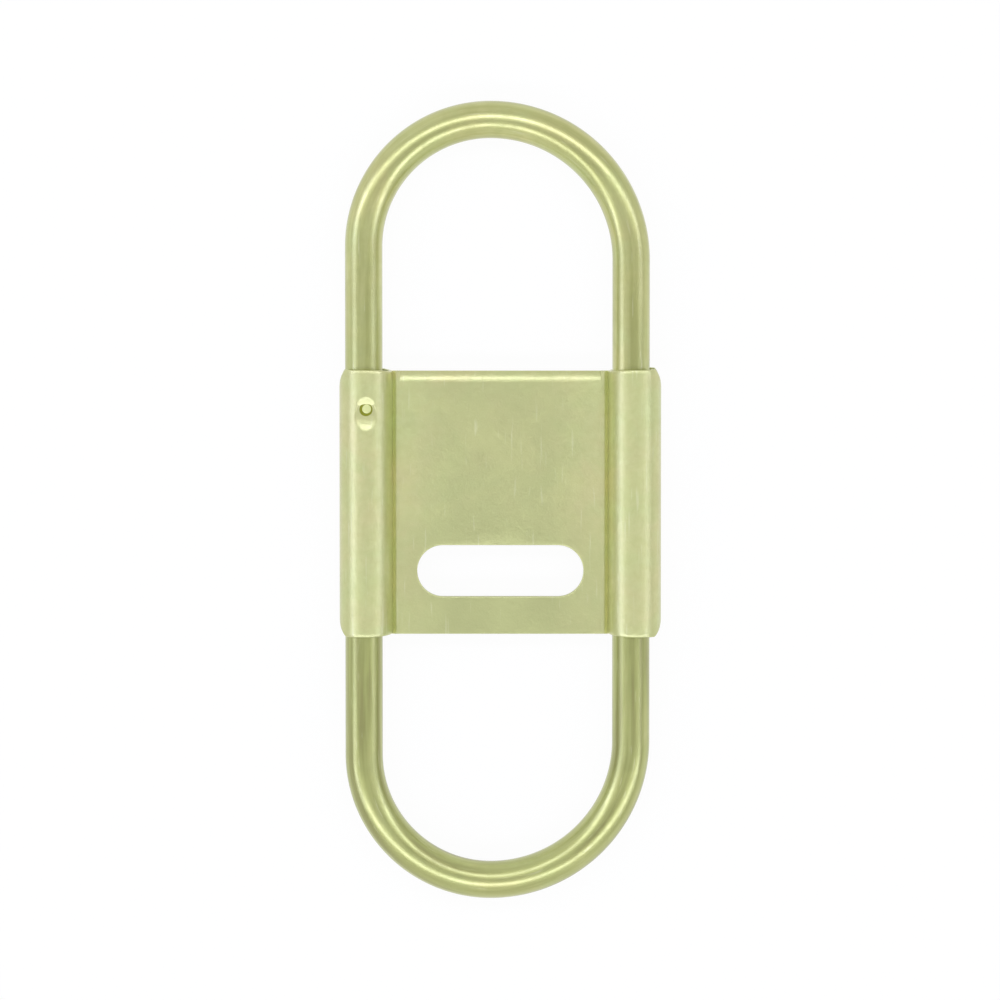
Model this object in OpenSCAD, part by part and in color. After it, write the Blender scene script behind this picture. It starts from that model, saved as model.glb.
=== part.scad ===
// Two-way key carabiner: a rolled brass sleeve with a strap slot and two spring-loaded rod shackles.
// It lies on its back: X runs across the sleeve, Y along its length, Z up out of the front.
// Each shackle has a heel in the left channel and a toe in the right one. It is pulled out against
// its spring until the toe clears the mouth, and then it turns about the heel.

/* [Sleeve] */
// Width over both channels
sleeveWidth = 30; // [27:0.5:40]
// Length of each channel
channelLength = 25; // [24.8:0.2:36]
// Wall of each channel
channelWall = 0.4; // [0.35:0.05:0.5]
// Distance of the panel's edges back from the channel mouths
panelInset = 0.2; // [0:0.05:1.5]
// Thickness of the folded panel
panelThickness = 0.8; // [0.7:0.1:1.2]
// Radius of the valley between panel and channel
valleyRadius = 0.15; // [0.1:0.05:0.8]
// Radius of the sleeve's outer corners, seen from the front
cornerRadius = 2.2; // [1.7:0.1:3]
// Distance from a channel's mouth at which its corner starts
cornerHeight = 1.5; // [0.8:0.1:1.6]
// Radius of the fold along the panel's upper edge
foldRadius = 1.7; // [1:0.1:2.4]
// Distance of the fold's ends from the valleys
foldInset = 0.35; // [0:0.05:1]
// Width and depth of the seam where the sheet's edges meet
seamSize = 0.12; // [0.08:0.02:0.2]

/* [Strap slot] */
// Length of the slot over its round ends
slotLength = 15.5; // [10:0.5:16]
// Width of the slot
slotWidth = 4.9; // [4.2:0.1:6]
// Distance of the slot below the middle of the sleeve
slotDrop = 6.4; // [4:0.1:7.5]

/* [Shackles] */
// Diameter of the rod
rodDiameter = 3.5; // [3:0.1:3.8]
// Height of the upper loop's apex over the sleeve, at the rod's middle
upperReach = 23.2; // [21:0.1:32]
// Depth of the lower loop's apex under the sleeve, at the rod's middle
lowerReach = 22.9; // [21:0.1:32]
// Distance of the apexes to the left of the sleeve's middle
apexShift = 0.9; // [0:0.05:1.1]
// Bevel at the end of heel and toe
legBevel = 0.4; // [0.2:0.05:0.6]
// Distance of the heel outward of its channel's axis
heelLean = 0.22; // [0:0.01:0.25]
// Distance of the toe inward of its channel's axis
toeLean = 0.32; // [0:0.01:0.32]
// Radial clearance of the rod in its channel
rodClearance = 0.35; // [0.34:0.01:0.4]

/* [Pull and return] */
// Height by which a toe clears its channel's mouth at full pull
toeClearance = 0.8; // [0.5:0.1:1.2]
// Diameter of the heel's stem
stemDiameter = 1.8; // [1.4:0.1:1.9]
// Radial running clearance of the stem in its seat, washer and cap
stemClearance = 0.05; // [0.03:0.01:0.08]
// Length of the spring seat
seatLength = 2.4; // [2:0.1:2.5]
// Radial clearance of the inner pieces in the channel
seatClearance = 0.03; // [0.02:0.01:0.06]
// Thickness of the thrust washer
washerThickness = 0.4; // [0.3:0.05:0.5]
// Length of the stem cap
capLength = 1.3; // [1:0.1:1.4]
// Height of the stem's peened end beyond the cap
peenHeight = 0.2; // [0.1:0.05:0.25]
// Axial play between neighbouring inner pieces
axialPlay = 0.05; // [0.03:0.01:0.08]
// Distance of each stem's end from the middle of the sleeve
middleGap = 0.25; // [0.15:0.05:0.6]

/* [Springs] */
// Diameter of the spring wire
springWire = 0.4; // [0.3:0.02:0.42]
// Turns of a spring
springTurns = 4; // [3:0.5:4]
// Length by which a spring is still open at full pull
springReserve = 0.1; // [0.05:0.05:0.2]

/* [Pins] */
// Diameter of a retaining pin
pinDiameter = 1.3; // [1:0.05:1.5]
// Radial clearance of a pin in its hole
pinClearance = 0.02; // [0.01:0.01:0.04]
// Depth of a pin in the wall of the spring seat
pinBite = 0.65; // [0.4:0.05:0.75]
// Height of a pin's domed end
pinDome = 0.25; // [0.1:0.05:0.35]
// Diameter of the sink round a pin
sinkDiameter = 3.1; // [1.8:0.1:3.4]
// Depth of that sink
sinkDepth = 0.3; // [0.2:0.05:0.55]

/* [Hidden] */

$fn = 96;
springSides = 6;
springRings = 8;
// Runs every cut past the face that it opens
overrun = 0.4;
// Length that a joined solid runs into its neighbour
weld = 0.2;

rodR = rodDiameter / 2;
boreR = rodR + rodClearance;
channelR = boreR + channelWall;
channelX = sleeveWidth / 2 - channelR;
panelLength = channelLength - 2 * panelInset;
stemR = stemDiameter / 2;
seatR = boreR - seatClearance;
turningR = seatR - heelLean;
stemHoleR = stemR + stemClearance;

// Heel and toe stand so deep that seat, washer, cap and a spring with room for the travel
// fill half of the heel's channel
closedSpring = (springTurns + 1) * springWire + springReserve;
innerLength = seatLength + closedSpring + washerThickness + capLength + peenHeight + 5 * axialPlay;
legInsert = (channelLength / 2 - middleGap - innerLength - toeClearance) / 2;
pullTravel = legInsert + toeClearance;
springLength = closedSpring + pullTravel;

// Depths below a channel's mouth
seatDepth = legInsert + 2 * axialPlay;
springDepth = seatDepth + seatLength + axialPlay;
washerDepth = springDepth + springLength + axialPlay;
capDepth = washerDepth + washerThickness + axialPlay;
stemDepth = capDepth + capLength + peenHeight;

// The part's origin is midway between the ends of the two loops
sleeveY = (lowerReach - upperReach) / 2;

// Heel and toe stand loose in their channels, both leaning to the left
heelX = channelX + heelLean;
toeX = channelX - toeLean;
heelBend = heelX - apexShift;
toeBend = toeX + apexShift;

pinR = pinDiameter / 2;
pinDepth = seatDepth + seatLength / 2;
pinHoleR = pinR + pinClearance;
pinFoot = boreR - pinBite;
pinTop = channelR - sinkDepth / 2;
// The dome is a cap of a ball
domeR = (pow(pinR, 2) + pow(pinDome, 2)) / (2 * pinDome);

// The wire runs midway between the stem and the rim of the washer
springR = (stemR + turningR) / 2;
springPitch = (springLength - springWire) / springTurns;
echo("travel of a shackle", pullTravel);
echo("least gap between the spring's turns", springPitch - springWire);

// The valley's centre stands off the panel's face and the channel's wall by its own radius
valleyZ = panelThickness / 2 + valleyRadius;
valleyX = channelX - sqrt(pow(channelR + valleyRadius, 2) - pow(valleyZ, 2));
valleyTouch = channelR / (channelR + valleyRadius);

// The fold's two arcs run from the panel's faces to its middle
foldCentre = foldRadius - panelThickness / 2;
foldReach = sqrt(pow(foldRadius, 2) - pow(foldCentre, 2));
foldX = valleyX - foldInset;

// A closed ring of the wire, square to the helix in the plane through the axis
function springRing(step) = let (
    turn = 360 * step / springRings,
    height = springWire / 2 + springPitch * step / springRings
) [
    for (side = [0 : springSides - 1]) let (
        swing = 360 * side / springSides,
        reach = springR + springWire / 2 * cos(swing)
    ) [reach * cos(turn), reach * sin(turn), height + springWire / 2 * sin(swing)]
];

// Pieces are drawn about the sleeve's middle, and this sets them where the part lies
module inPlace() {
    translate([0, sleeveY, channelR]) children();
}

// The lower half is the upper one turned over about the X axis
module turnedOver() {
    inPlace() rotate([180, 0, 0]) children();
}

// Stands a piece on the upper heel's axis, Z running down from the mouth
module onHeel() {
    translate([-heelX, channelLength / 2, 0]) rotate([90, 0, 0]) children();
}

// A tube round the Z axis between two heights
module bush(outerR, innerR, low, high) {
    difference() {
        translate([0, 0, low]) cylinder(r = outerR, h = high - low);
        translate([0, 0, low - overrun]) cylinder(r = innerR, h = high - low + 2 * overrun);
    }
}

// Half of the panel's outline in X and Z, with a valley up to the channel
module webProfile() {
    touchX = channelX + (valleyX - channelX) * valleyTouch;
    touchZ = valleyZ * valleyTouch;
    difference() {
        polygon([
            [0, 0], [0, panelThickness / 2], [valleyX, panelThickness / 2],
            [touchX, touchZ], [channelX, touchZ], [channelX, 0],
        ]);
        translate([valleyX, valleyZ]) circle(r = valleyRadius);
    }
}

module web() {
    for (turned = [0, 1], side = [0, 1]) mirror([0, 0, turned]) mirror([side, 0, 0])
        translate([0, panelLength / 2, 0]) rotate([90, 0, 0])
            linear_extrude(panelLength) webProfile();
}

module strapSlot() {
    travel = (slotLength - slotWidth) / 2;
    translate([0, -slotDrop, -panelThickness / 2 - overrun]) linear_extrude(panelThickness + 2 * overrun) {
        for (side = [-1, 1]) translate([side * travel, 0]) circle(d = slotWidth);
        square([2 * travel, slotWidth], center = true);
    }
}

// What the fold takes off the panel's upper edge, front and back
module foldEdge() {
    for (face = [0, 1]) mirror([0, 0, face])
        translate([-foldX, panelLength / 2 - foldReach, -foldCentre])
            rotate([90, 0, 90]) linear_extrude(2 * foldX) difference() {
                translate([0, foldCentre]) square(foldReach + overrun);
                circle(r = foldRadius);
            }
}

// What the rounded corners take off the channels' outer sides at their mouths
module corners() {
    for (side = [0, 1], end = [0, 1]) mirror([side, 0, 0]) mirror([0, end, 0])
        translate([channelX + channelR - cornerRadius, channelLength / 2 - cornerHeight, -channelR - overrun])
            linear_extrude(2 * (channelR + overrun)) difference() {
                square(cornerRadius + overrun);
                circle(r = cornerRadius);
            }
}

// Where the sheet's edges meet, along the channels' outer sides and the panel's lower edge
module seam() {
    for (side = [0, 1]) mirror([side, 0, 0])
        translate([channelX + channelR - seamSize, -channelLength / 2 - overrun, -seamSize / 2])
            cube([seamSize + overrun, channelLength + 2 * overrun, seamSize]);
    translate([-valleyX, -panelLength / 2 - overrun, -seamSize / 2])
        cube([2 * valleyX, seamSize + overrun, seamSize]);
}

// Sink and hole of the pin that shows on the front of the upper heel's channel
module pinHole() {
    translate([-channelX, channelLength / 2 - pinDepth, 0]) {
        cylinder(r = pinHoleR, h = channelR + overrun);
        translate([0, 0, channelR - sinkDepth])
            cylinder(r1 = pinHoleR, r2 = sinkDiameter / 2, h = sinkDepth);
        translate([0, 0, channelR]) cylinder(r = sinkDiameter / 2, h = overrun);
    }
}

module sleeve() {
    color("darkkhaki") difference() {
        union() {
            web();
            for (side = [-1, 1]) translate([side * channelX, channelLength / 2, 0])
                rotate([90, 0, 0]) cylinder(r = channelR, h = channelLength);
        }
        for (side = [-1, 1]) translate([side * channelX, channelLength / 2 + overrun, 0])
            rotate([90, 0, 0]) cylinder(r = boreR, h = channelLength + 2 * overrun);
        strapSlot();
        foldEdge();
        corners();
        seam();
        for (turned = [0, 180]) rotate([turned, 0, 0]) pinHole();
    }
}

// A straight leg with a bevelled end, Z running down from the start of the bend
module leg(reach) {
    rotate_extrude() polygon([
        [0, 0], [rodR, 0], [rodR, reach - legBevel], [rodR - legBevel, reach], [0, reach],
    ]);
}

module stem() {
    translate([0, 0, legInsert - weld]) cylinder(r = stemR, h = stemDepth - peenHeight - legInsert + weld);
    translate([0, 0, capDepth + capLength])
        cylinder(r1 = stemR + stemClearance + peenHeight, r2 = stemR - peenHeight, h = peenHeight);
}

// The toe's side of a loop about its apex: a leg and a quarter of a bend
module halfLoop(reach, bend) {
    translate([0, reach - bend, 0]) {
        rotate_extrude(angle = 90) translate([bend, 0]) circle(r = rodR);
        translate([bend, 0, 0]) rotate([90, 0, 0]) leg(reach - bend + legInsert);
    }
}

module shackle(reach) {
    color("khaki") {
        translate([-apexShift, channelLength / 2, 0]) {
            halfLoop(reach, toeBend);
            mirror([1, 0, 0]) halfLoop(reach, heelBend);
        }
        onHeel() stem();
    }
}

module stemCap() {
    color("tan") onHeel() bush(turningR, stemHoleR, capDepth, capDepth + capLength);
}

module thrustWasher() {
    color("silver") onHeel() bush(turningR, stemHoleR, washerDepth, washerDepth + washerThickness);
}

module springSeat() {
    color("tan") difference() {
        translate([-channelX, channelLength / 2 - seatDepth, 0])
            rotate([90, 0, 0]) cylinder(r = seatR, h = seatLength);
        onHeel() translate([0, 0, seatDepth - overrun]) cylinder(r = stemHoleR, h = seatLength + 2 * overrun);
        translate([-channelX, channelLength / 2 - pinDepth, pinFoot]) cylinder(r = pinHoleR, h = channelR);
    }
}

module spring() {
    last = springRings * springTurns;
    walls = [
        for (step = [0 : last - 1], side = [0 : springSides - 1]) let (
            here = step * springSides + side,
            next = step * springSides + (side + 1) % springSides
        ) each [
            [here, here + springSides, next],
            [next, here + springSides, next + springSides],
        ]
    ];
    caps = [
        for (side = [1 : springSides - 2]) each [
            [0, side, side + 1],
            [last * springSides, last * springSides + side + 1, last * springSides + side],
        ]
    ];
    color("silver") onHeel() translate([0, 0, springDepth])
        polyhedron([for (step = [0 : last]) each springRing(step)], concat(walls, caps));
}

module pin() {
    color("goldenrod") translate([-channelX, channelLength / 2 - pinDepth, 0]) intersection() {
        translate([0, 0, pinFoot + pinClearance]) cylinder(r = pinR, h = channelR);
        translate([0, 0, pinTop - domeR]) sphere(r = domeR);
    }
}

inPlace() sleeve();
inPlace() shackle(upperReach);  // upper_shackle
inPlace() stemCap();  // upper_stem_cap
inPlace() thrustWasher();  // upper_thrust_washer
inPlace() spring();  // upper_spring
inPlace() springSeat();  // upper_spring_seat
inPlace() pin();  // upper_pin
turnedOver() shackle(lowerReach);  // lower_shackle
turnedOver() stemCap();  // lower_stem_cap
turnedOver() thrustWasher();  // lower_thrust_washer
turnedOver() spring();  // lower_spring
turnedOver() springSeat();  // lower_spring_seat
turnedOver() pin();  // lower_pin
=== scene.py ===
import math

import bmesh
import bpy
import numpy as np
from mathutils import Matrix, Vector


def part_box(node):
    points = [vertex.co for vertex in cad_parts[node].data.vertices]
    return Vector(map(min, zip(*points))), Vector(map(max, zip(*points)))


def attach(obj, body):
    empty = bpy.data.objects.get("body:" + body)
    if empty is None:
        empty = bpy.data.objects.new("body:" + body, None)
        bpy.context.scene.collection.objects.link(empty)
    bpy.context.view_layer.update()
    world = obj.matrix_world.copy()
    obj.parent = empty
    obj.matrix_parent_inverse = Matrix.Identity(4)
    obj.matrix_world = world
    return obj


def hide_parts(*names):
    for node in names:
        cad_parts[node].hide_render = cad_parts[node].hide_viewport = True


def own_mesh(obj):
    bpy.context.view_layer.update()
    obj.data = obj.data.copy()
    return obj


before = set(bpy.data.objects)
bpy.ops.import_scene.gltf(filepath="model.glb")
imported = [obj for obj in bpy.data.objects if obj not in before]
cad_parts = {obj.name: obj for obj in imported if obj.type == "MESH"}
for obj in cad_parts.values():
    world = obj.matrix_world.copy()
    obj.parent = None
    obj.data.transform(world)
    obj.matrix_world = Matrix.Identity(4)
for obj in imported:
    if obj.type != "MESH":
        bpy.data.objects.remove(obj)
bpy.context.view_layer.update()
mm = 0.001

# Places and outer sizes come from the boxes of the CAD solids
sleeveLow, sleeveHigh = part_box("sleeve")
upperLow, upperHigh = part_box("upper_shackle")
lowerLow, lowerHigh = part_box("lower_shackle")
sleeveMid = (sleeveLow + sleeveHigh) / 2
channelR = sleeveMid.z - sleeveLow.z
channelX = sleeveHigh.x - channelR
halfLength = (sleeveHigh.y - sleeveLow.y) / 2
rodR = (upperHigh.z - upperLow.z) / 2
heelX = -upperLow.x - rodR
toeX = upperHigh.x - rodR
print("frame loaded, sleeve", round(2000 * halfLength, 2), "mm long")


# Meshes

def gridFaces(rows, columns, start, closeRows=False):
    # Quads between neighbouring rows and columns; columns always close on themselves
    row = np.arange(rows if closeRows else rows - 1)[:, None]
    column = np.arange(columns)[None, :]
    nextRow = (row + 1) % rows
    nextColumn = (column + 1) % columns
    quads = [row * columns + column, row * columns + nextColumn,
             nextRow * columns + nextColumn, nextRow * columns + column]
    return start + np.stack(np.broadcast_arrays(*quads), -1).reshape(-1, 4)


def makePiece(name, body, material, shells, replaced, straight=None, crease=32):
    # Each shell is (grid of points, whether its rows close); poles and doubled points are merged.
    # straight holds each point's place on the rod before it was bent, for patterns that follow it.
    points, faces, start = [], [], 0
    for grid, closeRows in shells:
        rows, columns = grid.shape[:2]
        points.append(grid.reshape(-1, 3))
        faces.append(gridFaces(rows, columns, start, closeRows))
        start += rows * columns
    mesh = bpy.data.meshes.new(name)
    mesh.from_pydata(np.concatenate(points).tolist(), [], np.concatenate(faces).tolist())
    if straight is not None:
        mesh.attributes.new("straight", "FLOAT_VECTOR", "POINT")
        mesh.attributes["straight"].data.foreach_set("vector", straight.astype(np.float32).ravel())
    work = bmesh.new()
    work.from_mesh(mesh)
    bmesh.ops.remove_doubles(work, verts=work.verts, dist=2e-7)
    bmesh.ops.dissolve_degenerate(work, edges=work.edges, dist=1e-7)
    bmesh.ops.recalc_face_normals(work, faces=work.faces)
    work.to_mesh(mesh)
    work.free()
    mesh.polygons.foreach_set("use_smooth", np.ones(len(mesh.polygons), bool))
    mesh.set_sharp_from_angle(angle=math.radians(crease))
    mesh.materials.append(material)
    piece = bpy.data.objects.new(name, mesh)
    bpy.context.scene.collection.objects.link(piece)
    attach(piece, body)
    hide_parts(replaced)
    print("made", name, "with", len(mesh.polygons), "faces")
    return piece


# Shader groups, shared by the finishes

def newGroup(name, inputs, outputs):
    group = bpy.data.node_groups.new(name, "ShaderNodeTree")
    for label, kind, value in inputs:
        socket = group.interface.new_socket(label, in_out="INPUT", socket_type=kind)
        if value is not None:
            socket.default_value = value
    for label, kind in outputs:
        group.interface.new_socket(label, in_out="OUTPUT", socket_type=kind)
    return group, group.nodes.new("NodeGroupInput"), group.nodes.new("NodeGroupOutput")


def mathNode(tree, operation, *values, clamp=False):
    node = tree.nodes.new("ShaderNodeMath")
    node.operation = operation
    node.use_clamp = clamp
    for socket, value in zip(node.inputs, values):
        if isinstance(value, bpy.types.NodeSocket):
            tree.links.new(value, socket)
        else:
            socket.default_value = value
    return node.outputs[0]


def noise(tree, vector, scale, detail=2.0, rough=0.5, distortion=0.0):
    node = tree.nodes.new("ShaderNodeTexNoise")
    settings = {"Scale": scale, "Detail": detail, "Roughness": rough, "Distortion": distortion}
    for label, value in settings.items():
        if isinstance(value, bpy.types.NodeSocket):
            tree.links.new(value, node.inputs[label])
        else:
            node.inputs[label].default_value = value
    tree.links.new(vector, node.inputs["Vector"])
    return node.outputs["Fac"]


def spread(tree, value, low, high):
    # Stretches low..high to 0..1
    node = tree.nodes.new("ShaderNodeMapRange")
    node.inputs["From Min"].default_value = low
    node.inputs["From Max"].default_value = high
    tree.links.new(value, node.inputs["Value"])
    return node.outputs["Result"]


def scaled(tree, value, low, high):
    # 0..1 to low..high
    return mathNode(tree, "MULTIPLY_ADD", value, high - low, low)


def grainGroup():
    # Tumbled metal: a fine pebble, a coarser mottle and slow cloudy tints
    group, start, end = newGroup(
        "tumbledGrain",
        [("Vector", "NodeSocketVector", None), ("Pebble Scale", "NodeSocketFloat", 5200.0),
         ("Mottle Scale", "NodeSocketFloat", 1500.0), ("Cloud Scale", "NodeSocketFloat", 210.0)],
        [("Pebble", "NodeSocketFloat"), ("Mottle", "NodeSocketFloat"), ("Cloud", "NodeSocketFloat"),
         ("Height", "NodeSocketFloat")])
    vector = start.outputs["Vector"]
    pebble = spread(group, noise(group, vector, start.outputs["Pebble Scale"], 2.0, 0.6), 0.3, 0.7)
    mottle = spread(group, noise(group, vector, start.outputs["Mottle Scale"], 3.0, 0.55, 0.4), 0.3, 0.7)
    cloud = spread(group, noise(group, vector, start.outputs["Cloud Scale"], 3.0, 0.55, 0.6), 0.35, 0.65)
    height = mathNode(group, "ADD", mathNode(group, "MULTIPLY", pebble, 0.4), mottle)
    for label, value in (("Pebble", pebble), ("Mottle", mottle), ("Cloud", cloud), ("Height", height)):
        group.links.new(value, end.inputs[label])
    return group


def scuffGroup():
    # Handling marks: fine scratches in two directions, rubbed patches that come and go, and streaks
    # that run with the second axis as drawing leaves them
    group, start, end = newGroup(
        "scuffs",
        [("Vector", "NodeSocketVector", None), ("Scale", "NodeSocketFloat", 400.0)],
        [("Scratch", "NodeSocketFloat"), ("Patch", "NodeSocketFloat"), ("Streak", "NodeSocketFloat")])

    def stretched(turn, stretch, scale, detail=2.0):
        mapping = group.nodes.new("ShaderNodeMapping")
        mapping.inputs["Rotation"].default_value = (0.0, 0.0, turn)
        mapping.inputs["Scale"].default_value = (1.0, stretch, 1.0)
        group.links.new(start.outputs["Vector"], mapping.inputs["Vector"])
        size = mathNode(group, "MULTIPLY", start.outputs["Scale"], scale)
        return noise(group, mapping.outputs["Vector"], size, detail)

    scratches = [
        spread(group, stretched(turn, stretch, 9.0), 0.66, 0.74)
        for turn, stretch in ((0.35, 0.06), (-0.9, 0.09))]
    patch = noise(group, start.outputs["Vector"], start.outputs["Scale"], 2.0, 0.6, 0.8)
    streak = stretched(0.0, 0.05, 3.0, 3.0)
    group.links.new(mathNode(group, "MAXIMUM", *scratches), end.inputs["Scratch"])
    group.links.new(spread(group, patch, 0.42, 0.66), end.inputs["Patch"])
    group.links.new(spread(group, streak, 0.35, 0.65), end.inputs["Streak"])
    return group


def darkeningGroup():
    # Darkening below a level, which is tarnish on the rods and makes the sleeve's panel darker towards the
    # bottom: its strength goes from Near at the Edge to Far at the Reach below it, and a noise breaks it
    # up; Object coordinates
    group, start, end = newGroup(
        "darkening",
        [("Vector", "NodeSocketVector", None), ("Edge", "NodeSocketFloat", -0.0125),
         ("Reach", "NodeSocketFloat", 0.025), ("Near", "NodeSocketFloat", 1.0),
         ("Far", "NodeSocketFloat", 0.5), ("Scale", "NodeSocketFloat", 260.0)],
        [("Dull", "NodeSocketFloat")])
    split = group.nodes.new("ShaderNodeSeparateXYZ")
    group.links.new(start.outputs["Vector"], split.inputs[0])
    below = mathNode(group, "SUBTRACT", start.outputs["Edge"], split.outputs["Y"])
    share = mathNode(group, "DIVIDE", below, start.outputs["Reach"], clamp=True)
    change = mathNode(group, "SUBTRACT", start.outputs["Far"], start.outputs["Near"])
    level = mathNode(group, "MULTIPLY_ADD", share, change, start.outputs["Near"])
    lower = mathNode(group, "GREATER_THAN", below, 0.0)
    cloud = noise(group, start.outputs["Vector"], start.outputs["Scale"], 3.0, 0.6, 0.5)
    broken = mathNode(group, "MULTIPLY", level, scaled(group, spread(group, cloud, 0.3, 0.7), 0.75, 1.25))
    group.links.new(mathNode(group, "MULTIPLY", broken, lower, clamp=True), end.inputs["Dull"])
    return group


grain = grainGroup()
scuffs = scuffGroup()
darkening = darkeningGroup()


def useGroup(tree, group, vector, **values):
    node = tree.nodes.new("ShaderNodeGroup")
    node.node_tree = group
    tree.links.new(vector, node.inputs["Vector"])
    for label, value in values.items():
        node.inputs[label.replace("_", " ")].default_value = value
    return node


def blendColour(tree, factor, first, second):
    node = tree.nodes.new("ShaderNodeMix")
    node.data_type = "RGBA"
    for socket, value in ((node.inputs[0], factor), (node.inputs[6], first), (node.inputs[7], second)):
        if isinstance(value, bpy.types.NodeSocket):
            tree.links.new(value, socket)
        elif isinstance(value, float):
            socket.default_value = value
        else:
            socket.default_value = (*value, 1.0)
    return node.outputs[2]


def tinted(tree, tint, mask, depth, colour):
    # Blends a colour in where the mask is, up to a depth
    return blendColour(tree, mathNode(tree, "MULTIPLY", mask, depth), tint, colour)


def raised(tree, rough, mask, amount):
    return mathNode(tree, "ADD", rough, mathNode(tree, "MULTIPLY", mask, amount), clamp=True)


def panelDarkening(tree, vector, dull, look):
    # Keeps the darkening to the panel, below its fold, and darkens its middle as well
    split = tree.nodes.new("ShaderNodeSeparateXYZ")
    tree.links.new(vector, split.inputs[0])
    across = mathNode(tree, "ABSOLUTE", split.outputs["X"])
    between = mathNode(tree, "LESS_THAN", across, look["panelHalf"])
    belowFold = mathNode(tree, "LESS_THAN", split.outputs["Y"], look["foldEdge"])
    panel = mathNode(tree, "MULTIPLY", between, belowFold)
    middle = spread(tree, across, look["middleEdge"], look["middleHalf"])
    dull = mathNode(tree, "ADD", dull, mathNode(tree, "MULTIPLY", middle, look["middleDull"]))
    return mathNode(tree, "MULTIPLY", dull, panel, clamp=True)


def brass(name, look, followRod=False, onPanel=False):
    # followRod lays the marks along the unbent rod, by the mesh's own attribute, and onPanel is for the
    # sleeve panel's darker lower part and middle
    material = bpy.data.materials.new(name)
    material.use_nodes = True
    tree = material.node_tree
    shader = tree.nodes["Principled BSDF"]
    shader.inputs["Metallic"].default_value = 1.0
    shader.inputs["Coat Weight"].default_value = look["coat"]
    shader.inputs["Coat Roughness"].default_value = look["coatRoughness"]
    shader.inputs["Coat IOR"].default_value = look["coatIor"]
    inPlace = tree.nodes.new("ShaderNodeTexCoord").outputs["Object"]
    vector = inPlace
    if followRod:
        unbent = tree.nodes.new("ShaderNodeAttribute")
        unbent.attribute_name = "straight"
        vector = unbent.outputs["Vector"]
    grains = useGroup(tree, grain, vector, Pebble_Scale=look["pebble"], Mottle_Scale=look["mottle"],
                      Cloud_Scale=look["cloud"]).outputs
    marks = useGroup(tree, scuffs, vector, Scale=look["scuffScale"]).outputs
    tint = blendColour(tree, grains["Cloud"], look["coolTint"], look["warmTint"])
    tint = tinted(tree, tint, grains["Mottle"], look["mottleDepth"], look["deepTint"])
    tint = tinted(tree, tint, marks["Patch"], look["patchDepth"], look["deepTint"])
    rough = scaled(tree, grains["Pebble"], look["roughLow"], look["roughHigh"])
    rough = raised(tree, rough, marks["Patch"], look["patchRough"])
    dull = useGroup(tree, darkening, inPlace, Edge=look["dullEdge"], Reach=look["dullReach"],
                    Near=look["dullNear"], Far=look["dullFar"]).outputs["Dull"]
    if followRod:
        tint = tinted(tree, tint, marks["Streak"], look["streakDepth"], look["deepTint"])
        dull = mathNode(tree, "MULTIPLY", dull, scaled(tree, marks["Streak"], 0.6, 1.4), clamp=True)
    if onPanel:
        dull = panelDarkening(tree, inPlace, dull, look)
    tint = tinted(tree, tint, dull, look["dullDepth"], look["dullTint"])
    rough = raised(tree, rough, dull, look["dullRough"])
    if followRod:
        stain = mathNode(tree, "MULTIPLY", dull, spread(tree, marks["Streak"], 0.45, 1.0))
        tint = tinted(tree, tint, stain, look["stainDepth"], look["stainTint"])
    scratch = mathNode(tree, "MULTIPLY", marks["Scratch"], look["scratchDepth"])
    tint = blendColour(tree, scratch, tint, look["brightTint"])
    tree.links.new(tint, shader.inputs["Base Color"])
    tree.links.new(rough, shader.inputs["Roughness"])
    bump = tree.nodes.new("ShaderNodeBump")
    bump.inputs["Distance"].default_value = look["bump"]
    if followRod:
        height = mathNode(tree, "ADD", grains["Height"], marks["Streak"])
    else:
        height = mathNode(tree, "SUBTRACT", grains["Height"], mathNode(tree, "MULTIPLY", scratch, 0.5))
    tree.links.new(height, bump.inputs["Height"])
    tree.links.new(bump.outputs["Normal"], shader.inputs["Normal"])
    return material


# Tints are from a cool and a warm one, darkened by the deep one; scales count per metre
sleeveLook = {
    "coolTint": (0.6, 0.65, 0.3),
    "warmTint": (0.655, 0.64, 0.315),
    "deepTint": (0.46, 0.48, 0.18),
    "brightTint": (0.8, 0.82, 0.55),
    "mottleDepth": 0.26,
    "patchDepth": 0.2,
    "scratchDepth": 0.25,
    "roughLow": 0.32,
    "roughHigh": 0.42,
    "patchRough": 0.05,
    "coat": 0.6,
    "coatRoughness": 0.25,
    "coatIor": 1.8,
    "pebble": 5200.0,
    "mottle": 1500.0,
    "cloud": 210.0,
    "scuffScale": 300.0,
    "bump": 0.012 * mm,
    "dullEdge": -0.5 * mm,     # Y below which the panel darkens
    "dullReach": 4.5 * mm,
    "dullNear": 0.0,
    "dullFar": 0.42,
    "dullDepth": 1.0,
    "dullTint": (0.5, 0.53, 0.235),
    "dullRough": 0.0,
    "panelHalf": 9.8 * mm,
    "foldEdge": 11.1 * mm,     # Y at which the fold starts
    "middleHalf": 4.5 * mm,    # the panel's darker middle, fading out to middleEdge
    "middleEdge": 9.0 * mm,
    "middleDull": 0.65,
}
rodLook = {
    "coolTint": (0.58, 0.635, 0.27),
    "warmTint": (0.635, 0.62, 0.27),
    "deepTint": (0.4, 0.42, 0.135),
    "brightTint": (0.74, 0.75, 0.46),
    "mottleDepth": 0.2,
    "patchDepth": 0.25,
    "scratchDepth": 0.3,
    "streakDepth": 0.8,
    "roughLow": 0.275,
    "roughHigh": 0.33,
    "patchRough": 0.05,
    "coat": 0.6,
    "coatRoughness": 0.2,
    "coatIor": 1.8,
    "pebble": 3800.0,
    "mottle": 900.0,
    "cloud": 160.0,
    "scuffScale": 420.0,
    "bump": 0.0016 * mm,
    "dullEdge": -12.5 * mm,
    "dullReach": 25.0 * mm,
    "dullNear": 1.1,
    "dullFar": 0.5,
    "dullDepth": 1.0,
    "dullTint": (0.415, 0.45, 0.15),
    "dullRough": 0.02,
    "stainDepth": 0.7,
    "stainTint": (0.29, 0.28, 0.1),
}
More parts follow.
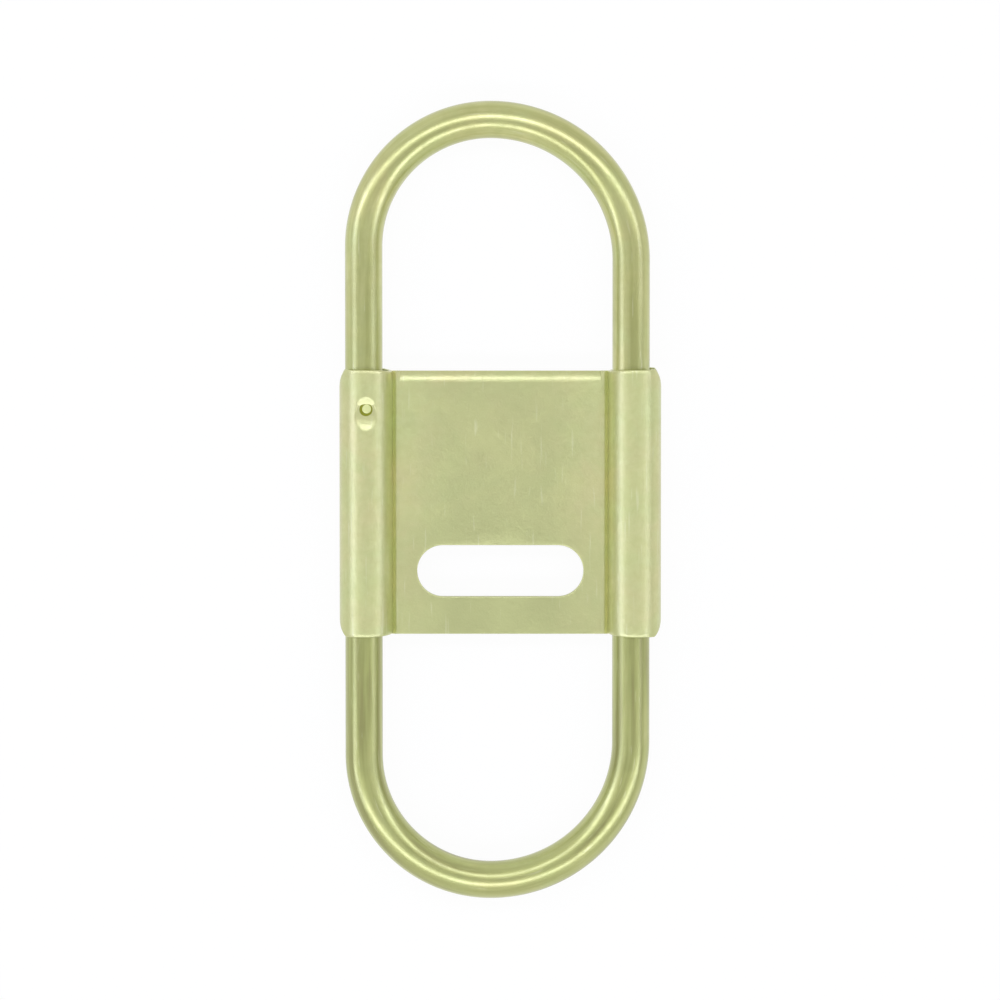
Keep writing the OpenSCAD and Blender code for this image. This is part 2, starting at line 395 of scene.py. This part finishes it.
innerLook = dict(rodLook, dullDepth=0.0)
# A lighter copy of the brass for the pin heads: a painted highlight for their bright dot
pinHighlightLook = dict(
    innerLook, coolTint=(0.8, 0.86, 0.42), warmTint=(0.82, 0.85, 0.42),
    roughLow=0.4, roughHigh=0.5, coat=0.2)
# A dark copy of the brass: painted shade for the gap round each pin
paintedShadeLook = dict(
    innerLook, coolTint=(0.25, 0.27, 0.035), warmTint=(0.21, 0.225, 0.025),
    roughLow=0.4, roughHigh=0.5, coat=0.0, mottleDepth=0.0, patchDepth=0.0, scratchDepth=0.0)
turnedLook = dict(
    innerLook, coolTint=(0.6, 0.58, 0.3), warmTint=(0.64, 0.58, 0.3), roughLow=0.25, roughHigh=0.35)
steelLook = dict(
    innerLook, coolTint=(0.55, 0.56, 0.57), warmTint=(0.58, 0.57, 0.55), deepTint=(0.3, 0.3, 0.3),
    brightTint=(0.75, 0.75, 0.75), coat=0.0, roughLow=0.25, roughHigh=0.35)
satinBrass = brass("satin_brass", sleeveLook, onPanel=True)
polishedBrass = brass("polished_brass", rodLook, followRod=True)
pinHighlightBrass = brass("pin_brass_painted_highlight", pinHighlightLook)
pinPaintedShade = brass("pin_painted_shade", paintedShadeLook)
turnedBrass = brass("turned_brass", turnedLook)
springSteel = brass("spring_steel", steelLook)
print("finishes ready")


# Sleeve

sleeve = {
    "wall": 0.4 * mm,             # of each channel
    "cornerR": 2.2 * mm,          # outer corners, seen from the front
    "cornerHeight": 1.5 * mm,
    "rimBreak": 0.14 * mm,        # outer edge at a channel's mouth
    "lip": 0.05 * mm,             # break of the bore's rim
    "panelHalf": 0.4 * mm,        # half of the folded panel
    "inset": 0.2 * mm,            # panel's edges back from the mouths
    "foldRadius": 1.7 * mm,       # arcs of the folded upper edge
    "foldInset": 0.35 * mm,       # fold's ends from the grooves
    "foldTip": 0.04 * mm,         # least half thickness at its end
    "foldStep": 0.01 * mm,        # between the two rays at each of its ends
    "edgeBreak": 0.06 * mm,       # of the cut lower edge
    "grooveX": 9.7 * mm,          # from here the panel dips towards the channel
    "grooveDepth": 0.16 * mm,
    "seam": 0.12 * mm,            # width and depth
    "seamSlope": 0.15,            # share of half its width that its sides slope over
    "sinkDepth": 0.22 * mm,
    "sinkFlat": 0.45 * mm,        # from the pin's middle to where the floor rises
    "sinkSlope": 0.28,            # towards the mouth
    "sinkDish": 4.9 * mm,         # radius of the rise away from the mouth
    "sinkHalf": (0.74 * mm, 1.05 * mm),   # half widths at those two ends
    "sinkSide": 1.2,              # slope of its sides
    "sinkShift": 0.03 * mm,       # of the sink's middle from the pin's, away from the mouth
    "sinkSoft": 0.04 * mm,        # height over which its edge is rounded
    "sinkArea": (1.6 * mm, 2.6 * mm),     # half width and length of the wall that it may lower
    "sinkSpan": (-2.2 * mm, 1.7 * mm),    # of the closer rows, from the pin towards the mouth
    "sinkTurn": 28.0,             # degrees to each side of the pin with closer columns
    "rimFace": 0.26 * mm,         # gently sloping band round each mouth
    "rimFall": 0.026 * mm,        # by which it ends below the wall
    "slotHalfLength": 7.75 * mm,
    "slotR": 2.4 * mm,
    "slotDrop": 6.4 * mm,
    "slotBreak": 0.1 * mm,
    "slotWall": (0.3, 0.8),       # rows on the slot's wall, as shares of its height
    "sideRun": 0.07,              # share of the side rays that end on the outline's edges by the channels
    "sides": 112,                 # round a channel
    "sinkSides": 44,
    "sinkRows": 70,
    "boreRows": 8,
    "lipRows": 5,
    "rimRows": 18,
    "bandRows": 7,
    "wallRows": 40,
    "foldSides": 80,              # rays along the panel's fold, and as many along its lower edge
    "foldEndSides": 5,
    "panelSides": 96,             # rays along each side of the panel
    "breakRows": 5,
    "flatRows": 12,
    "edgeRows": 22,
}
boreR = channelR - sleeve["wall"]


def sinkAt(x, y, top, pinY):
    # Height of the sink's floor: flat at the pin, a straight slope towards the mouth, a circle's arc away
    # from it, and steep sides that spread that way; softly joined to the wall's own height
    out = (y - pinY) * math.copysign(1.0, pinY) + sleeve["sinkShift"]
    halfUp, halfDown = sleeve["sinkHalf"]
    rise = np.maximum(np.abs(out) - sleeve["sinkFlat"], 0)
    rise = np.where(out > 0, sleeve["sinkSlope"] * rise, rise**2 / (2 * sleeve["sinkDish"]))
    share = np.clip(0.5 + out / (2 * sleeve["sinkFlat"]), 0, 1)
    across = sleeve["sinkSide"] * np.maximum(np.abs(x) - halfDown - (halfUp - halfDown) * share, 0)
    bottom = channelR - sleeve["sinkDepth"] + rise + across
    soft = sleeve["sinkSoft"]
    gap = np.clip(0.5 + (bottom - top) / (2 * soft), 0, 1)
    return bottom + (top - bottom) * gap - soft * gap * (1 - gap)


def channelShell(side, pins):
    # A closed profile of bore, lip, rim and wall, turned about the channel's axis. The rim keeps below
    # two curves: a small break, and the sheet's rounded corner as the plan shows it. Towards the panel
    # it falls a little, and below it a narrow band slopes up to the wall. Each sink lowers the wall
    # near its pin, and the seam is a groove outside.
    seamTurn = math.degrees(sleeve["seam"] / 2 / channelR)
    seamMiddle = 0 if side > 0 else 180
    slope = sleeve["seamSlope"]
    seamLines = seamMiddle + seamTurn * np.array([-1 - slope, slope - 1, 1 - slope, 1 + slope])
    sinkTurn = sleeve["sinkTurn"]
    closer = np.linspace(-sinkTurn, sinkTurn, sleeve["sinkSides"])
    near = [closer + middle for middle in ((90, 270) if pins else ())]
    angles = np.concatenate([np.linspace(0, 360, sleeve["sides"], endpoint=False), *near, seamLines])
    angles = np.unique(np.round(angles % 360, 4))
    fromSeam = np.abs((angles - seamMiddle + 180) % 360 - 180)
    outward = np.cos(np.radians(fromSeam))
    lip, rimBreak = sleeve["lip"], sleeve["rimBreak"]
    cornerR, cornerHeight = sleeve["cornerR"], sleeve["cornerHeight"]
    turn = np.linspace(0, math.pi / 2, sleeve["rimRows"])
    bandR = channelR - sleeve["rimFall"]
    rimR = boreR + lip + (bandR - boreR - lip) * np.sin(turn)[:, None] + 0 * outward
    inPlan = cornerR - np.clip(bandR - rimR * outward, 0, cornerR)
    cornerY = np.minimum(np.sqrt(np.maximum(cornerR**2 - inPlan**2, 0)), cornerHeight) - cornerHeight
    pastBreak = np.clip(rimR - bandR + rimBreak, 0, None)
    breakY = np.sqrt(np.maximum(rimBreak**2 - pastBreak**2, 0)) - rimBreak
    inner = np.clip(-outward, 0, 1)**2 * sleeve["inset"]
    rimY = halfLength + np.minimum(cornerY, breakY) - inner
    lipTurn = np.linspace(0, math.pi / 2, sleeve["lipRows"])[:, None] + 0 * outward
    lipR = boreR + lip * (1 - np.cos(lipTurn))
    lipY = rimY[0] - lip * (1 - np.sin(lipTurn))
    band = sleeve["rimFace"] / halfLength
    wallShare = np.concatenate([
        band * np.linspace(0, 1, sleeve["bandRows"])[1:], np.linspace(0, 1, sleeve["wallRows"])[1:]])
    if pins:
        fromPin = np.linspace(*sleeve["sinkSpan"], sleeve["sinkRows"])
        fine = (abs(pins[0][0]) + fromPin) / (halfLength - rimBreak)
        wallShare = np.unique(np.concatenate([wallShare, 1 - fine[(fine < 1) & (fine > 0)]]))
    wallY = rimY[-1] * (1 - wallShare[:, None])
    count = len(angles)
    inBand = np.clip((rimY[-1] - wallY) / sleeve["rimFace"], 0, 1)
    wallR = bandR + sleeve["rimFall"] * (1 - (1 - inBand)**2)
    boreRows = sleeve["boreRows"]
    halfR = np.concatenate([np.full((boreRows, count), boreR), lipR, rimR, wallR])
    boreY = np.linspace(0, 1, boreRows + 1)[1:, None] * lipY[0]
    halfY = np.concatenate([boreY, lipY, rimY, wallY])
    radius = np.concatenate([halfR, halfR[::-1][1:]])
    y = np.concatenate([halfY, -halfY[::-1][1:]])
    outside = np.zeros(len(halfR), bool)
    outside[boreRows + len(lipTurn):] = True
    outside = np.concatenate([outside, outside[::-1][1:]])
    groove = np.clip((1 + slope - fromSeam / seamTurn) / (2 * slope), 0, 1) * sleeve["seam"]
    radius = np.where(outside[:, None], np.maximum(radius - groove, boreR + 1.5 * lip), radius)
    angles = np.radians(angles)
    x = radius * np.cos(angles)
    z = radius * np.sin(angles)
    areaX, areaY = sleeve["sinkArea"]
    for pinY, face in pins:
        inArea = (np.abs(x) < areaX) & (np.abs(y - pinY) < areaY)
        lowered = outside[:, None] & (z * face > 0) & inArea
        z = np.where(lowered, face * sinkAt(x, y, z * face, pinY), z)
    grid = np.stack([side * channelX + x, sleeveMid.y + y, sleeveMid.z + z], -1)
    return grid, True


def slotEdge(direction):
    # Where a ray from the slot's middle leaves its outline, a box with round ends, and the normal there
    ux, uy = direction[:, 0], direction[:, 1]
    r, straight = sleeve["slotR"], sleeve["slotHalfLength"] - sleeve["slotR"]
    flat = r / np.maximum(np.abs(uy), 1e-9)
    onFlat = np.abs(ux) * flat <= straight
    reach = np.abs(ux) * straight
    roundEnd = reach + np.sqrt(np.maximum(reach**2 - straight**2 + r**2, 0))
    distance = np.where(onFlat, flat, roundEnd)
    edge = direction * distance[:, None]
    centre = np.stack([np.where(onFlat, edge[:, 0], np.sign(ux) * straight), np.zeros(len(ux))], 1)
    normal = (edge - centre) / r
    return edge, normal


def webShell():
    # The panel: rays run from the slot's edge to a frame where the edges begin, and on to the outline;
    # along each ray the front's height follows the slot's break and the flat, and then the fold, the
    # cut edge's break or the groove, by side. The back is the front turned over, so that every ray is a
    # closed loop.
    half = sleeve["panelHalf"]
    grooveX, cut = sleeve["grooveX"], sleeve["edgeBreak"]
    top = halfLength - sleeve["inset"]
    creaseZ = half - sleeve["grooveDepth"]
    creaseX = channelX - math.sqrt(channelR**2 - creaseZ**2)
    endX = channelX - boreR - sleeve["lip"]
    foldX = grooveX - sleeve["foldInset"]
    foldCentre = sleeve["foldRadius"] - half
    foldReach = math.sqrt(sleeve["foldRadius"]**2 - foldCentre**2)
    topStart, lowStart = top - foldReach, -top + cut
    # Frame and outline, side by side, going round from the upper right corner. Two rays lie close
    # together at each end of the fold, where it stops short.
    step, foldEndSides = sleeve["foldStep"], sleeve["foldEndSides"]
    across = np.concatenate([
        np.linspace(grooveX, foldX, foldEndSides)[:-1], [foldX + step],
        foldX * np.cos(np.linspace(0, math.pi, sleeve["foldSides"])),
        [-foldX - step], -np.linspace(foldX, grooveX, foldEndSides)[1:]])
    count, sides = len(across), sleeve["panelSides"]
    share = np.linspace(0, 1, sides)
    downFrame = topStart + (lowStart - topStart) * share
    run = sleeve["sideRun"]
    outX = grooveX + (endX - grooveX) * np.clip(np.minimum(share, 1 - share) / run, 0, 1)
    outY = top - 2 * top * np.clip((share - run) / (1 - 2 * run), 0, 1)
    frameXY = np.concatenate([
        np.stack([across, np.full(count, topStart)], 1),
        np.stack([np.full(sides, -grooveX), downFrame], 1),
        np.stack([-across, np.full(count, lowStart)], 1),
        np.stack([np.full(sides, grooveX), downFrame[::-1]], 1)])
    outlineXY = np.concatenate([
        np.stack([across, np.full(count, top)], 1),
        np.stack([-outX, outY], 1),
        np.stack([-across, np.full(count, -top)], 1),
        np.stack([outX[::-1], outY[::-1]], 1)])
    zone = np.repeat([0, 1, 2, 3], [count, sides, count, sides])
    folded = (zone == 0) & (np.abs(frameXY[:, 0]) < foldX + step / 2)
    slotMiddle = np.array([0.0, -sleeve["slotDrop"]])
    rays = frameXY - slotMiddle
    rays /= np.linalg.norm(rays, axis=1)[:, None]
    edge, normal = slotEdge(rays)
    edge = edge + slotMiddle
    steps = []
    slotBreak = sleeve["slotBreak"]
    for height in sleeve["slotWall"]:
        steps.append((edge, np.full(len(edge), height * (half - slotBreak))))
    for turn in np.linspace(0, math.pi / 2, sleeve["breakRows"]):
        place = edge + normal * slotBreak * (1 - math.cos(turn))
        steps.append((place, np.full(len(edge), half - slotBreak * (1 - math.sin(turn)))))
    inner = steps[-1][0]
    for part in np.linspace(0, 1, sleeve["flatRows"])[1:]:
        steps.append((inner + (frameXY - inner) * part, np.full(len(edge), half)))
    for turn in np.linspace(0, math.pi / 2, sleeve["edgeRows"])[1:]:
        place = frameXY + (outlineXY - frameXY) * math.sin(turn)
        foldZ = np.sqrt(np.maximum(sleeve["foldRadius"]**2 - (place[:, 1] - topStart)**2, 0)) - foldCentre
        foldZ = np.where(folded, np.maximum(foldZ, sleeve["foldTip"]), half)
        cutZ = half - cut + np.sqrt(np.maximum(cut**2 - (place[:, 1] - lowStart)**2, 0))
        intoGroove = np.clip((np.abs(place[:, 0]) - grooveX) / (creaseX - grooveX), 0, 1)
        grooveZ = half + (creaseZ - half) * intoGroove
        steps.append((place, np.choose(zone, [foldZ, grooveZ, cutZ, grooveZ])))
    seamZ = np.minimum(sleeve["seam"] / 2, 0.8 * steps[-1][1])
    depth = np.where(zone == 2, sleeve["seam"], 0.0)
    steps.append((outlineXY, seamZ))
    steps.append((outlineXY + np.stack([np.zeros(len(depth)), depth], 1), seamZ * 0.98))
    front = np.stack([np.concatenate([place, height[:, None]], 1) for place, height in steps])
    loop = np.concatenate([front, front[::-1] * np.array([1, 1, -1])])
    loop += np.array([0.0, sleeveMid.y, sleeveMid.z])
    return loop, True


upperPin = sum(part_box("upper_pin"), Vector()) / 2
lowerPin = sum(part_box("lower_pin"), Vector()) / 2
pins = [(upperPin.y - sleeveMid.y, 1), (lowerPin.y - sleeveMid.y, -1)]
makePiece("sleeve_body", "sleeve", satinBrass,
          [webShell(), channelShell(-1, pins), channelShell(1, [])], "sleeve")


# Shackles

shackle = {
    "insert": 2.4 * mm,       # heel and toe inside the channels
    "apexShift": 0.9 * mm,    # apexes left of the middle
    "bevel": 0.4 * mm,
    "stemR": 0.9 * mm,
    "stemDepth": 12.25 * mm,  # below the mouth
    "peen": 0.2 * mm,
    "sides": 72,
    "legRows": 16,
    "bendRows": 121,
}


def sweep(centres, tangents, radii, sides):
    # Rings square to the path: across is the tangent turned a quarter in the flat of the loop
    turn = np.linspace(0, 2 * math.pi, sides, endpoint=False)
    across = np.stack([-tangents[:, 1], tangents[:, 0], np.zeros(len(tangents))], 1)
    up = np.array([0.0, 0.0, 1.0])
    ring = np.cos(turn)[None, :, None] * across[:, None, :] + np.sin(turn)[None, :, None] * up
    return centres[:, None, :] + radii[:, None, None] * ring


def shackleShell(side, reach):
    # Heel stem, heel, leg, two quarter circles that meet at the apex, leg and toe as one tube; side is
    # 1 above and -1 below
    mouth, apex = halfLength, reach - rodR
    apexX = -shackle["apexShift"]
    heelBend, toeBend = heelX + apexX, toeX - apexX
    insert, bevel, stemR = shackle["insert"], shackle["bevel"], shackle["stemR"]
    foot = mouth - shackle["stemDepth"]
    peen = shackle["peen"]
    heelY = [foot, foot, foot + peen, foot + peen, mouth - insert, mouth - insert, mouth - insert + bevel]
    heelR = [0.0, stemR - peen, stemR + peen, stemR, stemR, rodR - bevel, rodR]
    legRows = shackle["legRows"]
    legY = np.linspace(mouth - insert + bevel, apex - heelBend, legRows)[1:]
    arc = np.linspace(math.pi, 0, shackle["bendRows"])[1:]
    bend = np.where(arc > math.pi / 2, heelBend, toeBend)
    toeY = np.concatenate([
        np.linspace(apex - toeBend, mouth - insert + bevel, legRows)[1:], [mouth - insert, mouth - insert]])
    toeR = np.concatenate([np.full(legRows - 1, rodR), [rodR - bevel, 0.0]])
    straight = np.concatenate([heelY, legY])
    path = np.concatenate([
        np.stack([np.full(len(straight), -heelX), straight], 1),
        np.stack([apexX + bend * np.cos(arc), apex - bend * (1 - np.sin(arc))], 1),
        np.stack([np.full(len(toeY), toeX), toeY], 1)])
    radii = np.concatenate([heelR, np.full(len(legY) + len(arc), rodR), toeR])
    ahead = np.concatenate([
        np.tile([0.0, 1.0], (len(straight), 1)), np.stack([np.sin(arc), -np.cos(arc)], 1),
        np.tile([0.0, -1.0], (len(toeY), 1))])
    centres = np.stack([path[:, 0], sleeveMid.y + side * path[:, 1], np.full(len(path), sleeveMid.z)], 1)
    tangents = np.stack([ahead[:, 0], side * ahead[:, 1], np.zeros(len(path))], 1)
    grid = sweep(centres, tangents, radii, shackle["sides"])
    steps = np.linalg.norm(np.diff(centres, axis=0), axis=1)
    along = np.concatenate([[0.0], np.cumsum(steps)])
    ring = np.linspace(0, 2 * math.pi, shackle["sides"], endpoint=False)
    unbent = np.stack(np.broadcast_arrays(
        radii[:, None] * np.cos(ring), side * along[:, None], radii[:, None] * np.sin(ring)), -1)
    return grid, unbent


reachUp = upperHigh.y - sleeveMid.y
reachDown = sleeveMid.y - lowerLow.y
for name, side, reach in (("upper_shackle", 1, reachUp), ("lower_shackle", -1, reachDown)):
    grid, unbent = shackleShell(side, reach)
    makePiece(name + "_rod", name, polishedBrass, [(grid, False)], name, straight=unbent)


# Pins

pin = {
    "crownR": 0.42 * mm,
    "crownShift": 0.065 * mm,  # towards the panel and the mouth
    "ringDrop": 0.035 * mm,    # from the crown down to the ring
    "slope": 0.02 * mm,
    "edge": 0.05 * mm,
    "sides": 48,
}


def pinShell(middle, face, low, high, ring):
    # The crown is a post with a soft edge. The ring round it stands lower and falls outwards, and the
    # inner side of its closed profile is hidden in the post.
    radius = (high.x - low.x) / 2
    length = high.z - low.z
    crownR, edge = pin["crownR"], pin["edge"]
    shift = 0.0 if ring else pin["crownShift"]
    if ring:
        crownR -= 2 * pin["crownShift"]
        top = length - pin["ringDrop"]
        r = np.array([crownR, crownR, radius - edge, radius, radius])
        along = np.array([0.0, top, top - pin["slope"], top - pin["slope"] - edge, 0.0])
    else:
        turn = np.linspace(0, math.pi / 2, 6)
        inward = np.linspace(crownR - edge, 0, 7)[1:]
        r = np.concatenate([[0.0, crownR], crownR - edge * (1 - np.cos(turn)), inward])
        rounded = length - edge * (1 - np.sin(turn))
        along = np.concatenate([[0.0, 0.0], rounded, np.full(len(inward), length)])
    base = low.z if face > 0 else high.z
    angle = np.linspace(0, 2 * math.pi, pin["sides"], endpoint=False)
    grid = np.stack([
        middle.x + shift + r[:, None] * np.cos(angle),
        middle.y + face * shift + r[:, None] * np.sin(angle),
        np.broadcast_to(base + face * along[:, None], (len(r), pin["sides"]))], -1)
    return grid, ring


for name, middle, face in (("upper_pin", upperPin, 1), ("lower_pin", lowerPin, -1)):
    low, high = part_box(name)
    # The head's lighter brass is a painted highlight
    makePiece(name + "_head", "sleeve", pinHighlightBrass, [pinShell(middle, face, low, high, False)], name)
    # The ring round each pin is dark brass, painted shade of the gap round it
    makePiece(name + "_painted_shade_ring", "sleeve", pinPaintedShade, [pinShell(middle, face, low, high, True)], name)


# Springs and the other inner pieces

spring = {"wire": 0.4 * mm, "turns": 4.0, "ringsPerTurn": 40, "sides": 12, "keep": 0.4}


def springShell(name, side):
    # A helix about the heel's axis; the ends taper to points so that it closes
    low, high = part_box(name)
    wireR = spring["wire"] / 2
    middleR = (high.x - low.x) / 2 - wireR
    count = int(spring["turns"] * spring["ringsPerTurn"]) + 1
    share = np.linspace(0, 1, count)
    turn = 2 * math.pi * spring["turns"] * share
    along = low.y + wireR + (high.y - low.y - 2 * wireR) * share
    radii = np.full(count, wireR)
    share = np.concatenate([[0], np.arange(count), [count - 1]]).astype(int)
    turn, along, radii = turn[share], along[share], radii[share]
    radii[[0, -1]] = 0
    swing = np.linspace(0, 2 * math.pi, spring["sides"], endpoint=False)
    reach = middleR + radii[:, None] * np.cos(swing)
    grid = np.stack([
        -heelX + reach * np.cos(turn)[:, None], along[:, None] + radii[:, None] * np.sin(swing),
        sleeveMid.z - side * reach * np.sin(turn)[:, None]], -1)
    return grid, False


for half, side in (("upper", 1), ("lower", -1)):
    coil = makePiece(half + "_spring_coil", "sleeve", springSteel,
                     [springShell(half + "_spring", side)], half + "_spring")
    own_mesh(coil)
    finishes = {"stem_cap": turnedBrass, "spring_seat": turnedBrass, "thrust_washer": springSteel}
    for part, finish in finishes.items():
        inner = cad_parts[half + "_" + part]
        inner.data.materials.clear()
        inner.data.materials.append(finish)
print("inner pieces finished")


# Floor, light and camera

studio = {
    "floorSize": 3.0,
    "floorShare": 0.05,        # how much of the floor's own shading the camera sees
    "floorGlossy": 0.95,       # its brightness in the metal
    "paper": 0.86,
    "ambient": 0.6,            # what metal sees between the lamps
    "glow": 0.12,              # added at the horizon
    "glowHeight": 0.5,         # how far up it reaches, 1 being straight above
    "lampHeight": 0.6,
    "lampSize": (2.6, 0.15),   # two long lamps lie across, above and below the object
    "upperLamp": 25.0,         # degrees from straight above
    "lowerLamp": -29.5,
    "lampLevel": 2.65,         # brightness of each lamp's face
    "lampColour": (1.0, 1.0, 1.16),   # a little cool
    "sideLamp": 60.0,          # degrees, the two short lamps left and right
    "sideDistance": 1.0,
    "sideSize": (1.0, 0.4),
    "sideColour": (1.0, 1.02, 1.6),   # cooler still, for the pale lines along the rods
    "leftLevel": 0.68,
    "rightLevel": 0.32,
    "fillDistance": 1.2,       # two broad dim lamps, further out than the long ones
    "upperFill": (0.2, 68.0, 0.9),   # level, lean in degrees, width
    "lowerFill": (0.32, 66.0, 0.7),
    "fillLength": 2.6,
    "tilt": 4.4,               # camera from straight above, towards the upper loop
    "distance": 0.9,
    "frameWidth": 93.3 * mm,   # of the picture, at the rods' height
    "sensor": 36.0,
    "aimX": -0.03 * mm,
    "aimY": 0.05 * mm,
}


def rayMix(tree, seen, others):
    # seen for camera rays, others for the rest
    path = tree.nodes.new("ShaderNodeLightPath")
    mix = tree.nodes.new("ShaderNodeMixShader")
    tree.links.new(path.outputs["Is Camera Ray"], mix.inputs[0])
    tree.links.new(others, mix.inputs[1])
    tree.links.new(seen, mix.inputs[2])
    return mix.outputs[0]


def emission(tree, level):
    node = tree.nodes.new("ShaderNodeEmission")
    node.inputs["Color"].default_value = (1.0, 1.0, 1.0, 1.0)
    node.inputs["Strength"].default_value = level
    return node.outputs[0]


def floorMaterial():
    material = bpy.data.materials.new("white_table")
    material.use_nodes = True
    tree = material.node_tree
    tree.nodes.remove(tree.nodes["Principled BSDF"])
    paper = tree.nodes.new("ShaderNodeBsdfDiffuse")
    paper.inputs["Color"].default_value = (*[studio["paper"]] * 3, 1.0)
    seen = tree.nodes.new("ShaderNodeMixShader")
    seen.inputs[0].default_value = studio["floorShare"]
    tree.links.new(emission(tree, 1.0), seen.inputs[1])
    tree.links.new(paper.outputs[0], seen.inputs[2])
    path = tree.nodes.new("ShaderNodeLightPath")
    gloss = tree.nodes.new("ShaderNodeMixShader")
    shiny = mathNode(tree, "MAXIMUM", path.outputs["Is Glossy Ray"], path.outputs["Is Transmission Ray"])
    tree.links.new(shiny, gloss.inputs[0])
    tree.links.new(paper.outputs[0], gloss.inputs[1])
    tree.links.new(emission(tree, studio["floorGlossy"]), gloss.inputs[2])
    final = rayMix(tree, seen.outputs[0], gloss.outputs[0])
    tree.links.new(final, tree.nodes["Material Output"].inputs["Surface"])
    return material


size = studio["floorSize"] / 2
floorCorners = [(-size, -size, 0), (size, -size, 0), (size, size, 0), (-size, size, 0)]
floorMesh = bpy.data.meshes.new("table_top")
floorMesh.from_pydata(floorCorners, [], [(0, 1, 2, 3)])
floorMesh.materials.append(floorMaterial())
floor = bpy.data.objects.new("table_top", floorMesh)
bpy.context.scene.collection.objects.link(floor)

world = bpy.data.worlds.new("tent")
world.use_nodes = True
bpy.context.scene.world = world
tree = world.node_tree
above = tree.nodes["Background"]
above.inputs["Color"].default_value = (1.0, 1.0, 1.0, 1.0)
split = tree.nodes.new("ShaderNodeSeparateXYZ")
tree.links.new(tree.nodes.new("ShaderNodeTexCoord").outputs["Generated"], split.inputs[0])
low = spread(tree, split.outputs["Z"], studio["glowHeight"], 0.0)
strength = mathNode(tree, "MULTIPLY_ADD", low, studio["glow"], studio["ambient"])
tree.links.new(strength, above.inputs["Strength"])
white = tree.nodes.new("ShaderNodeBackground")
white.inputs["Color"].default_value = (1.0, 1.0, 1.0, 1.0)
seenOrNot = rayMix(tree, white.outputs[0], above.outputs[0])
tree.links.new(seenOrNot, tree.nodes["World Output"].inputs["Surface"])


def flatLamp(name, size, level, place, turn, colour=(1.0, 1.0, 1.0)):
    # level is the brightness of its face, as a metal that mirrors it shows it
    data = bpy.data.lights.new(name, "AREA")
    data.shape = "RECTANGLE"
    data.size, data.size_y = size
    data.energy = level * math.pi * data.size * data.size_y
    data.color = colour
    lamp = bpy.data.objects.new(name, data)
    lamp.location = place
    lamp.rotation_euler = turn
    bpy.context.scene.collection.objects.link(lamp)


for name in ("upperLamp", "lowerLamp"):
    lean, height = math.radians(studio[name]), studio["lampHeight"]
    place = (0, height * math.tan(lean), height)
    flatLamp(name, studio["lampSize"], studio["lampLevel"], place, (-lean, 0, 0), studio["lampColour"])
for name, side in (("left", -1), ("right", 1)):
    lean, away = math.radians(studio["sideLamp"]), studio["sideDistance"]
    place = (side * away * math.sin(lean), 0, away * math.cos(lean))
    flatLamp(name + "Lamp", studio["sideSize"][::-1], studio[name + "Level"], place, (0, side * lean, 0),
             studio["sideColour"])
for name, side in (("upperFill", 1), ("lowerFill", -1)):
    level, lean, width = studio[name]
    lean, away = math.radians(lean), studio["fillDistance"]
    place = (0, side * away * math.sin(lean), away * math.cos(lean))
    flatLamp(name, (studio["fillLength"], width), level, place, (-side * lean, 0, 0))

camera = bpy.data.objects.new("camera", bpy.data.cameras.new("camera"))
camera.data.sensor_width = studio["sensor"]
camera.data.lens = studio["sensor"] * studio["distance"] / studio["frameWidth"]
camera.data.clip_start = 0.01
aim = Vector((studio["aimX"], studio["aimY"], sleeveMid.z))
tilt = math.radians(studio["tilt"])
camera.location = aim + studio["distance"] * Vector((0, math.sin(tilt), math.cos(tilt)))
camera.rotation_euler = (-tilt, 0, 0)
bpy.context.scene.collection.objects.link(camera)
bpy.context.scene.camera = camera
bpy.context.scene.view_settings.view_transform = "Standard"
print("studio ready")
